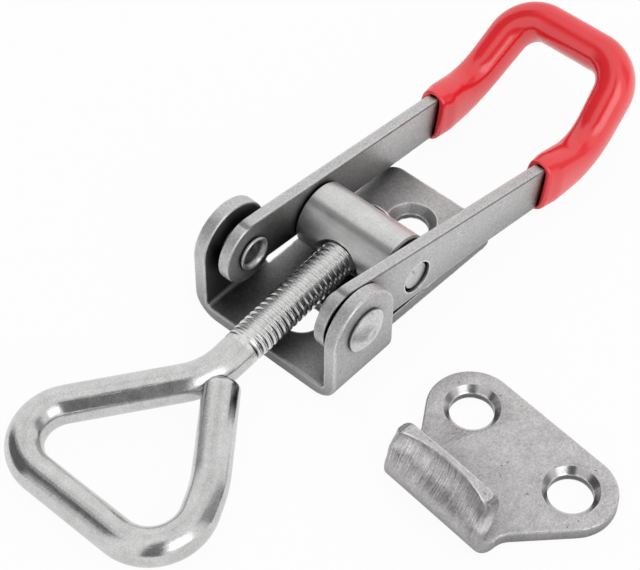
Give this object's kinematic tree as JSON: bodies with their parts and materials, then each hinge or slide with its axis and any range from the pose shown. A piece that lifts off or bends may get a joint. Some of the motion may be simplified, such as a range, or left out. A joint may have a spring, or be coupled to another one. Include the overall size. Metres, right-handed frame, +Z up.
{
  "type": "over-centre toggle latch",
  "caption": "Over-centre toggle latch: folded steel base, dipped U handle, cross barrel with threaded triangular hook rod, and separate hooked catch plate.",
  "frame": {"origin": "centre of the front mounting hole, on the underside of the base", "axes": "+Z up off the mounting surface, +X from the hook back towards the hand grip, +Y across towards the ear away from the catch plate"},
  "size_m": [0.1153, 0.0717, 0.0178],
  "materials": {
    "base_steel": "tumbled satin stainless sheet, fine pits",
    "rivet_steel": "tumbled satin, worn bright on the dome",
    "handle_steel": "tumbled satin stainless sheet with bright edges",
    "grip_vinyl": "glossy dipped vinyl",
    "barrel_steel": "turned satin, lengthwise bands",
    "hook_steel": "polished drawn bar",
    "catch_steel": "tumbled satin with a brushed lip"
  },
  "bodies": {
    "base": {"base_plate": "base_steel", "pivot_rivet_near": "rivet_steel", "pivot_rivet_far": "rivet_steel", "catch_plate": "catch_steel"},
    "handle": {"handle_bar": "handle_steel", "grip": "grip_vinyl"},
    "barrel": {"barrel": "barrel_steel"},
    "hook": {"hook_rod": "hook_steel"}
  },
  "joints": [
    {"name": "handle_pivot", "type": "hinge", "parent": "base", "child": "handle", "pos_m": [-0.0019, 0, 0.01155], "axis": [0, -1, 0], "range_deg": [0, 105]},
    {"name": "barrel_pivot", "type": "hinge", "parent": "handle", "child": "barrel", "pos_m": [0.0127, 0, 0.0084], "axis": [0, -1, 0], "range_deg": [-105, 0]},
    {"name": "hook_adjust", "type": "slide", "parent": "barrel", "child": "hook", "axis": [-0.9955, 0, -0.0952], "range_m": [-0.012, 0.003]}
  ],
  "couplings": [
    {"joint": "barrel_pivot", "follows": "handle_pivot", "ratio": -1}
  ]
}
